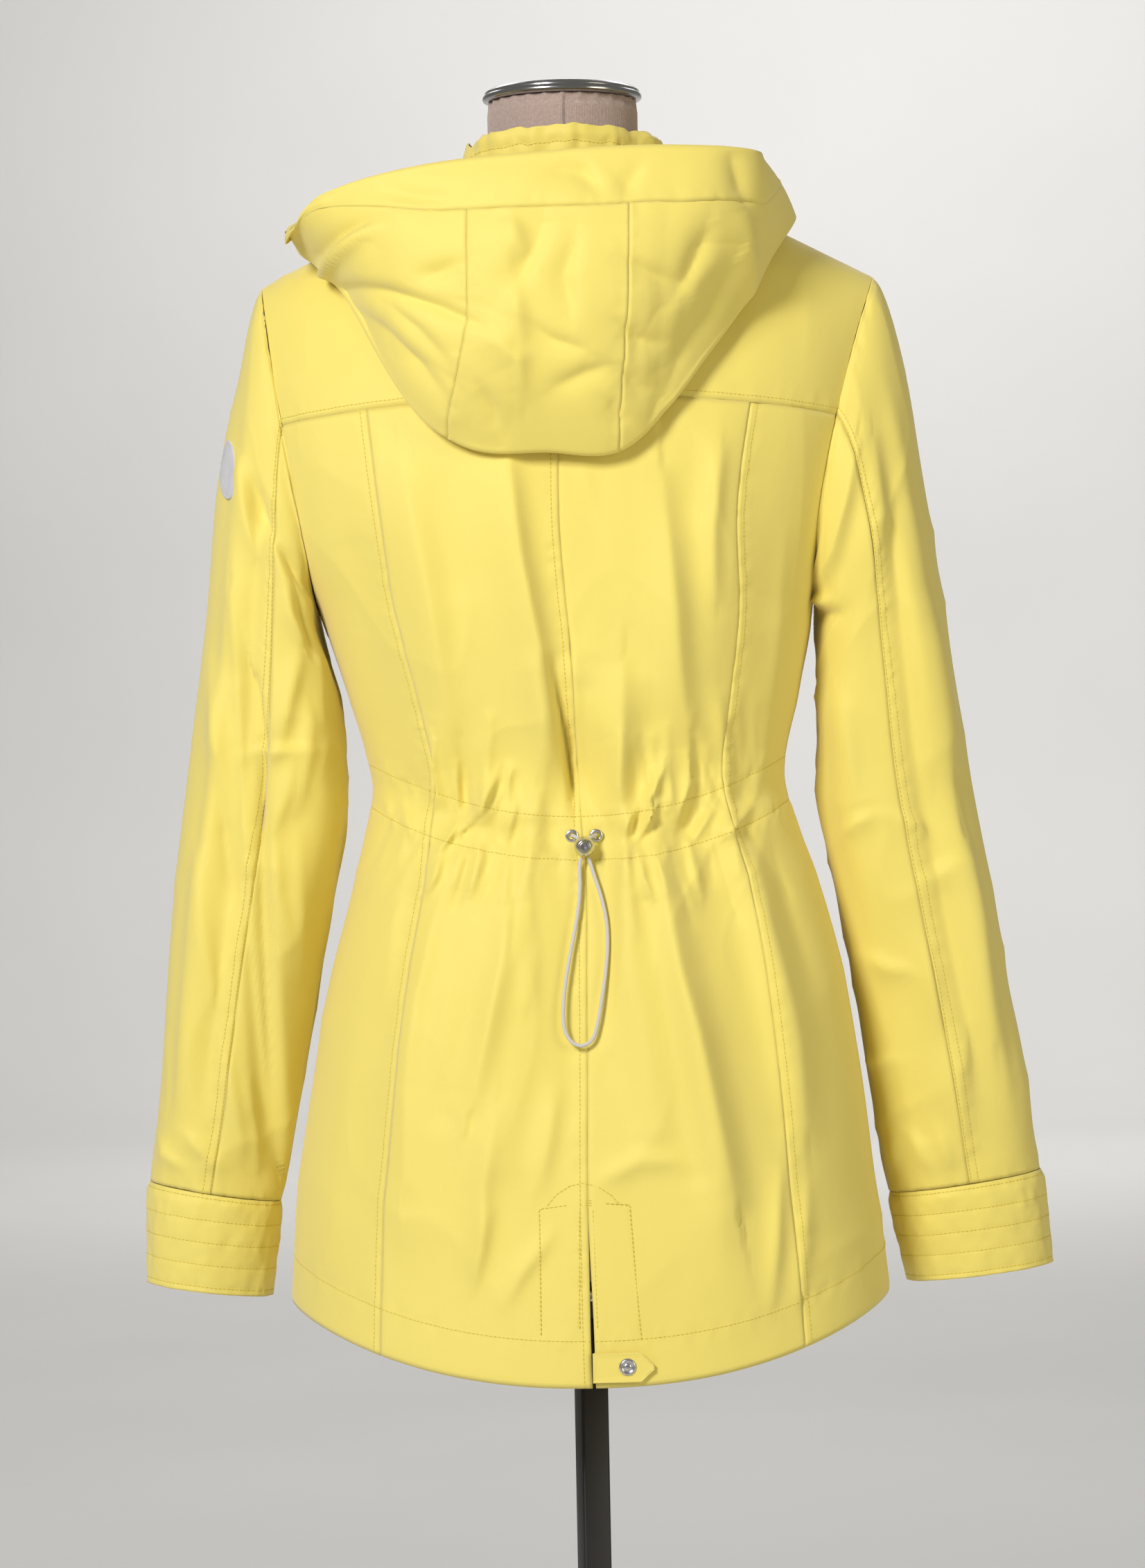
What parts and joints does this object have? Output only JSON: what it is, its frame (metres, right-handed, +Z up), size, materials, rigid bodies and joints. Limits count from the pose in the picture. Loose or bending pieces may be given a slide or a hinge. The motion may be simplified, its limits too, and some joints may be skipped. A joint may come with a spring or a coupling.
{
  "type": "windbreaker jacket on a dress form stand",
  "caption": "Hooded windbreaker jacket with a drawn waist, dropped back hem, back vent and banded cuffs, worn by a limbless dress form on a pole stand.",
  "frame": {"origin": "on the floor, under the middle of the round base plate", "axes": "+Z up, +Y towards the jacket's back, +X towards the wearer's left"},
  "size_m": [0.609, 0.37, 1.5013],
  "materials": {
    "shell_fabric": "smooth coated nylon with a soft sheen",
    "zip_tape": "woven tape with moulded teeth",
    "bright_metal": "polished",
    "elastic_cord": "braided elastic",
    "badge_leather": "matt, with a punched rim",
    "form_linen": "plain linen",
    "black_metal": "satin black"
  },
  "bodies": {
    "jacket_and_stand": {"back_centre_left": "shell_fabric", "back_centre_right": "shell_fabric", "back_side_left": "shell_fabric", "back_side_right": "shell_fabric", "back_yoke": "shell_fabric", "front_left": "shell_fabric", "front_right": "shell_fabric", "zip_chain": "zip_tape", "sleeve_top_left": "shell_fabric", "sleeve_under_left": "shell_fabric", "cuff_left": "shell_fabric", "sleeve_top_right": "shell_fabric", "sleeve_under_right": "shell_fabric", "cuff_right": "shell_fabric", "collar": "shell_fabric", "hood_side_left": "shell_fabric", "hood_centre": "shell_fabric", "hood_side_right": "shell_fabric", "hood_band": "shell_fabric", "vent_tab": "shell_fabric", "vent_snap": "bright_metal", "waist_eyelet_left": "bright_metal", "waist_cord_left": "elastic_cord", "waist_eyelet_right": "bright_metal", "waist_cord_right": "elastic_cord", "cord_lock": "bright_metal", "cord_lock_button": "bright_metal", "cord_loop": "elastic_cord", "sleeve_badge": "badge_leather", "zip_slider": "bright_metal", "form_body": "form_linen", "neck_cap": "bright_metal", "form_socket": "black_metal", "socket_screw": "bright_metal", "pole": "black_metal", "base_collar": "black_metal", "base_plate": "black_metal"},
    "zip_pull": {"zip_pull": "bright_metal"}
  },
  "joints": [
    {"name": "zip_pull_hinge", "type": "hinge", "parent": "jacket_and_stand", "child": "zip_pull", "pos_m": [0, -0.08306, 1.438], "axis": [-1, 0, 0], "range_deg": [0, 150]}
  ]
}
